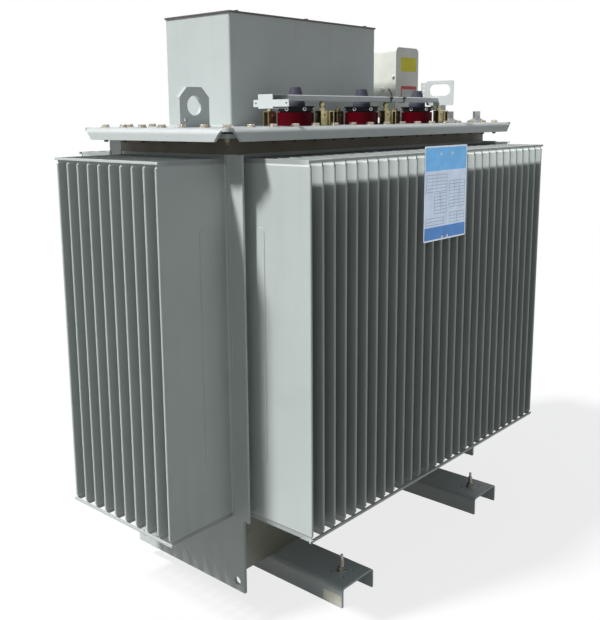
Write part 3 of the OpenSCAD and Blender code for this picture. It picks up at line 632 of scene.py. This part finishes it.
def make_cable_ties():
    """Two cable ties round the locking bar, one with a loose tail."""
    low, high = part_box("locking_bar")
    centre = (low + high) / 2
    width = high.y - low.y + TIE_T
    height = high.z - low.z + TIE_T
    half_t = TIE_T / 2
    half_w = TIE_W / 2
    band = [(-half_t, -half_w), (half_t, -half_w), (half_t, half_w), (-half_t, half_w)]
    for i, x in enumerate(TIE_PLACES):
        bm = bmesh.new()
        loop = rounded_outline(width, height, TIE_CORNER_R, steps=6)
        rings = []
        for u, v in loop:
            point = Vector((x, centre.y + u, centre.z + v))
            out = Vector((0, point.y - centre.y, point.z - centre.z)).normalized()
            rings.append([bm.verts.new(point + out * a + Vector((b, 0, 0))) for a, b in band])
        for near, far in zip(rings, rings[1:] + rings[:1]):
            for m in range(4):
                n = (m + 1) % 4
                bm.faces.new((near[m], near[n], far[n], far[m]))
        head = on_front(x, low.y - TIE_T + TIE_HEAD_SEAT, high.z - TIE_HEAD_DROP)
        slab(bm, head, TIE_HEAD_W, TIE_HEAD_H, TIE_HEAD_T, TIE_HEAD_R)
        if i == 0:
            start = Vector((x, low.y - TIE_T - 0.001, high.z))
            tail = []
            for k in range(TAIL_STEPS + 1):
                t = k / TAIL_STEPS
                tail.append(start + Vector((-TAIL_LEAN * t * t, TAIL_CURL * t * t, TIE_TAIL * t)))
            sweep(bm, tail, [
                (-TAIL_T / 2, -TAIL_W / 2), (TAIL_T / 2, -TAIL_W / 2),
                (TAIL_T / 2, TAIL_W / 2), (-TAIL_T / 2, TAIL_W / 2),
            ])
        piece(f"cable_tie_{i + 1}", bm, tie_plastic)


def make_welds():
    """Weld beads at the foot of the lugs and the cable box and along the end panels."""
    bm = bmesh.new()
    for side in ("left", "right"):
        low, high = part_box(f"{side}_lifting_lug")
        for y in (low.y, high.y):
            weld(bm, (low.x, y, low.z), (high.x, y, low.z), WELD_HEAVY_R)
        for x in (low.x, high.x):
            weld(bm, (x, low.y, low.z), (x, high.y, low.z), WELD_HEAVY_R)
    piece("lug_welds", bm, lid_paint)

    bm = bmesh.new()
    low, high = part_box("lv_box")
    for y in (low.y, high.y):
        weld(bm, (low.x, y, low.z), (high.x, y, low.z))
    for x in (low.x, high.x):
        weld(bm, (x, low.y, low.z), (x, high.y, low.z))
    piece("cable_box_welds", bm, tank_paint)

    bm = bmesh.new()
    tank_low, tank_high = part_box("tank_collar")
    fin_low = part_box("front_panel")[0].z
    fin_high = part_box("front_panel")[1].z
    for x in (tank_low.x, tank_high.x):
        for y in (tank_low.y, tank_high.y):
            weld(bm, (x, y, fin_low), (x, y, fin_high), WELD_FINE_R)
    piece("panel_welds", bm, tank_paint)

    bm = bmesh.new()
    tray_low, tray_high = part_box("tank_tray")
    for side in ("left", "right"):
        low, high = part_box(f"{side}_tow_plate")
        inner = high.x if side == "left" else low.x
        weld(bm, (inner, tray_low.y, TRAY_WELD_Z), (inner, tray_low.y, tray_high.z))
        weld(bm, (inner, tray_high.y, TRAY_WELD_Z), (inner, tray_high.y, tray_high.z))
        low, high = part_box(f"{side}_skid")
        start = low.x + SKID_WELD_INSET
        end = high.x - SKID_WELD_INSET
        for y in (-SKID_WELD_Y, SKID_WELD_Y):
            weld(bm, (start, y, high.z), (end, y, high.z), WELD_HEAVY_R)
    piece("tray_welds", bm, tray_paint)


def make_relay():
    """Relay housing and cover with moulded, softened edges."""
    width = 0.127
    radius = 0.016
    step = 0.0015
    rim_soft = 0.005
    knob_r = 0.005
    knob_z = 0.128
    boss_r = 0.010
    boss_y = 0.024
    boss_z = 0.088
    neck_low, neck_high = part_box("relay_neck")
    middle = (neck_low.x + neck_high.x) / 2
    for node, name, slot, look in (
        ("relay_body", "relay_housing", "relay_plastic", relay_plastic),
        ("relay_front", "relay_cover", "relay_cover", relay_cover),
    ):
        low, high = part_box(node)
        inset = step if node == "relay_body" else 0
        half = width / 2 - inset
        points = [(-half, 0), (half, 0)]
        for quarter in (0, 1):
            for k in range(9):
                a = (quarter + k / 8) * math.pi / 2
                x = (half - radius) * (1 if quarter == 0 else -1) + radius * math.cos(a)
                points.append((x, high.z - low.z - radius + radius * math.sin(a)))
        bm = bmesh.new()
        place = on_front(middle, low.y, low.z)
        extrude(bm, points, place, low.y - high.y, 0)
        rims = [e for e in bm.edges if e.calc_face_angle(0) > 1.0]
        bmesh.ops.bevel(bm, geom=rims, offset=rim_soft, segments=4, profile=0.5, affect="EDGES")
        if node == "relay_body":
            place = on_left(middle - half, low.y + boss_y, low.z + boss_z)
            lathe(bm, [(boss_r, -0.001), (boss_r, 0.0015), (boss_r * 0.75, 0.004), (0.002, 0.005)], place)
        else:
            for sign in (-1, 1):
                place = frame_at(
                    (middle + sign * half, low.y + 2 * knob_r, low.z + knob_z), (0, sign, 0), (0, 0, 1))
                lathe(bm, [
                    (knob_r, -0.002), (knob_r, 0.0025), (knob_r * 0.8, 0.0042), (knob_r * 0.3, 0.005),
                ], place)
        shell = piece(name, bm, look)
        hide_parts(node)


def make_labels():
    """Blank stickers on the relay and on the left skid."""
    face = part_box("relay_front")[0].y
    neck_low, neck_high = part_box("relay_neck")
    middle = (neck_low.x + neck_high.x) / 2
    for name, across, z, width, height, thick, corner, look in (
        ("relay_label_yellow", 0.007, 1.402, 0.087, 0.044, PRINT_T, 0.002, yellow_label),
        ("relay_label_red", 0.009, 1.3125, 0.087, 0.044, PRINT_T / 2, 0.002, red_label),
        ("relay_label_pale", 0.009, 1.309, 0.077, 0.030, PRINT_T, 0.001, pale_label),
    ):
        bm = bmesh.new()
        slab(bm, on_front(middle + across, face, z), width, height, thick, corner)
        piece(name, bm, look)
    bm = bmesh.new()
    slab(bm, on_left(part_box("left_skid")[0].x, -0.356, 0.0175), 0.058, 0.029, PRINT_T, 0.001)
    piece("skid_label", bm, cream_label)


def make_rating_plate():
    """Rating plate with a plain header and footer and a ruled, empty table."""
    low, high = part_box("rating_plate")
    width = high.x - low.x
    height = high.z - low.z
    middle_x = (low.x + high.x) / 2
    middle_z = (low.z + high.z) / 2
    base_t = 0.0012
    margin = 0.004
    header_h = 0.060
    footer_h = 0.033
    bm = bmesh.new()
    place = on_front(middle_x, high.y, middle_z)
    slab(bm, place, width, height, base_t, 0.005)
    base = piece("rating_plate_base", bm, plate_white)
    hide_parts("rating_plate")

    inner_w = width - 2 * margin
    body_h = height - 2 * margin - header_h - footer_h
    body_z = low.z + margin + footer_h + body_h / 2
    face = high.y - base_t
    bm = bmesh.new()
    slab(bm, on_front(middle_x, face, body_z), inner_w, body_h, PRINT_T, 0.0005)
    piece("rating_plate_body", bm, plate_body)
    bm = bmesh.new()
    slab(bm, on_front(middle_x, face, high.z - margin - header_h / 2), inner_w, header_h, PRINT_T, 0.002)
    piece("rating_plate_header", bm, plate_blue)
    bm = bmesh.new()
    slab(bm, on_front(middle_x, face, low.z + margin + footer_h / 2), inner_w, footer_h, PRINT_T, 0.002)
    piece("rating_plate_footer", bm, plate_deep_blue)

    bm = bmesh.new()
    rule = 0.0012
    row = 0.0088
    printed_face = face - PRINT_T
    for left, right, top, rows, columns in (
        (0.03, 0.52, 0.93, 5, 2), (0.22, 0.52, 0.60, 6, 2), (0.58, 0.97, 0.80, 8, 3),
        (0.03, 0.46, 0.16, 2, 1), (0.60, 0.97, 0.22, 3, 2),
    ):
        x0 = middle_x - inner_w / 2 + left * inner_w
        x1 = middle_x - inner_w / 2 + right * inner_w
        z1 = body_z - body_h / 2 + top * body_h
        z0 = z1 - rows * row
        for k in range(rows + 1):
            place = on_front((x0 + x1) / 2, printed_face, z1 - k * row)
            slab(bm, place, x1 - x0, rule, PRINT_T / 2, rule / 4)
        for k in range(columns + 1):
            place = on_front(x0 + (x1 - x0) * k / columns, printed_face, (z0 + z1) / 2)
            slab(bm, place, rule, z1 - z0, PRINT_T / 3, rule / 4)
    piece("rating_plate_rules", bm, plate_rule)

    rivet = [(0.0045, 0), (0.0045, 0.0002), (0.003, 0.0006), (0.001, 0.0008)]
    bm = bmesh.new()
    for x, z in ((-0.036, 1.142), (0.020, 1.142), (-0.024, 0.922), (0.002, 0.922)):
        lathe(bm, rivet, on_front(x, face, z), sides=20)
    piece("rating_plate_rivets", bm, screw_steel)


def make_scratch():
    """Short scratch across the rounded left edge of the lid."""
    low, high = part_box("lid")
    bend = 0.022
    path = []
    for k in range(7):
        t = k / 6
        z = high.z - 0.0205 + 0.0095 * t
        rise = z - (high.z - bend)
        x = low.x + bend - math.sqrt(bend * bend - rise * rise)
        path.append(Vector((x, -0.072 - 0.021 * t + 0.0008 * math.sin(5 * t), z)))
    bm = bmesh.new()
    sweep(bm, path, [(-0.0003, 0), (0, -0.0011), (0.0003, 0), (0, 0.0011)])
    piece("lid_scratch", bm, nut_steel)


def make_camera():
    """Camera that repeats the photograph's view."""
    ahead = Vector((math.sin(YAW) * math.cos(PITCH), math.cos(YAW) * math.cos(PITCH), math.sin(PITCH)))
    level = Vector((math.cos(YAW), -math.sin(YAW), 0))
    above = level.cross(ahead)
    right = math.cos(ROLL) * level + math.sin(ROLL) * above
    up = -math.sin(ROLL) * level + math.cos(ROLL) * above
    data = bpy.data.cameras.new("camera")
    data.sensor_width = SENSOR
    data.lens = FOCAL_PX * SENSOR / max(IMAGE)
    data.shift_x = (IMAGE[0] / 2 - CENTRE_PX[0]) / max(IMAGE)
    data.shift_y = (CENTRE_PX[1] - IMAGE[1] / 2) / max(IMAGE)
    obj = bpy.data.objects.new("camera", data)
    bpy.context.scene.collection.objects.link(obj)
    obj.matrix_world = Matrix.Translation(EYE) @ Matrix((right, up, -ahead)).transposed().to_4x4()
    bpy.context.scene.camera = obj


def seen_directly(tree):
    """Light Path value that is 1 for camera, glossy and transmission rays."""
    path = tree.nodes.new("ShaderNodeLightPath")
    total = path.outputs["Is Camera Ray"]
    for name in ("Is Glossy Ray", "Is Transmission Ray"):
        add = tree.nodes.new("ShaderNodeMath")
        add.operation = "MAXIMUM"
        tree.links.new(total, add.inputs[0])
        tree.links.new(path.outputs[name], add.inputs[1])
        total = add.outputs["Value"]
    return total


def make_world():
    """White backdrop for the eye, and an even fill that is weaker from below."""
    world = bpy.data.worlds.new("studio")
    bpy.context.scene.world = world
    world.use_nodes = True
    tree = world.node_tree
    output = tree.nodes["World Output"]
    fill = tree.nodes["Background"]
    coords = tree.nodes.new("ShaderNodeTexCoord")
    split = tree.nodes.new("ShaderNodeSeparateXYZ")
    tree.links.new(coords.outputs["Generated"], split.inputs["Vector"])
    level = tree.nodes.new("ShaderNodeMapRange")
    level.inputs["From Min"].default_value = -0.2
    level.inputs["From Max"].default_value = 1.0
    level.inputs["To Min"].default_value = FILL_GROUND
    level.inputs["To Max"].default_value = FILL_SKY
    tree.links.new(split.outputs["Z"], level.inputs["Value"])
    tree.links.new(level.outputs["Result"], fill.inputs["Strength"])
    fill.inputs["Color"].default_value = (0.90, 0.95, 1.0, 1)
    white = tree.nodes.new("ShaderNodeBackground")
    white.inputs["Color"].default_value = (1, 1, 1, 1)
    mix = tree.nodes.new("ShaderNodeMixShader")
    tree.links.new(seen_directly(tree), mix.inputs["Fac"])
    tree.links.new(fill.outputs["Background"], mix.inputs[1])
    tree.links.new(white.outputs["Background"], mix.inputs[2])
    tree.links.new(mix.outputs["Shader"], output.inputs["Surface"])


def make_floor():
    """Pale floor that shows white to the eye and keeps the object's shadow."""
    bm = bmesh.new()
    half = FLOOR_SIZE / 2
    corners = ((-half, -half), (half, -half), (half, half), (-half, half))
    bm.faces.new([bm.verts.new((x, y, 0)) for x, y in corners])
    mesh = bpy.data.meshes.new("floor")
    bm.to_mesh(mesh)
    bm.free()
    floor = bpy.data.objects.new("floor", mesh)
    bpy.context.scene.collection.objects.link(floor)
    look = Look("floor")
    mesh.materials.append(look.material)
    tree = look.tree
    look.finish(
        look.blend(look.noise(0.8, 3), (0.13, 0.13, 0.125), (0.15, 0.15, 0.145)),
        look.span(look.noise(2, 3), 0.3, 0.7, 0.8, 0.95))
    bright = tree.nodes.new("ShaderNodeBsdfDiffuse")
    bright.inputs["Color"].default_value = (0.8, 0.8, 0.8, 1)
    glow = tree.nodes.new("ShaderNodeEmission")
    shown = tree.nodes.new("ShaderNodeMixShader")
    shown.inputs["Fac"].default_value = FLOOR_WHITE
    tree.links.new(bright.outputs["BSDF"], shown.inputs[1])
    tree.links.new(glow.outputs["Emission"], shown.inputs[2])
    mix = tree.nodes.new("ShaderNodeMixShader")
    tree.links.new(seen_directly(tree), mix.inputs["Fac"])
    tree.links.new(look.bsdf.outputs["BSDF"], mix.inputs[1])
    tree.links.new(shown.outputs["Shader"], mix.inputs[2])
    tree.links.new(mix.outputs["Shader"], tree.nodes["Material Output"].inputs["Surface"])


def make_key():
    """Soft key light from the left."""
    lamp = bpy.data.lights.new("key", "SUN")
    lamp.energy = KEY_STRENGTH
    lamp.angle = KEY_ANGLE
    key = bpy.data.objects.new("key", lamp)
    bpy.context.scene.collection.objects.link(key)
    key.rotation_euler = KEY_TRAVEL.to_track_quat("-Z", "Y").to_euler()


paint_nodes()
make_lid_bolts()
make_flange_screws()
make_studs()
make_cable_ties()
make_welds()
make_relay()
make_labels()
make_rating_plate()
make_scratch()
make_camera()
make_world()
make_floor()
make_key()
bpy.context.scene.view_settings.view_transform = "Standard"
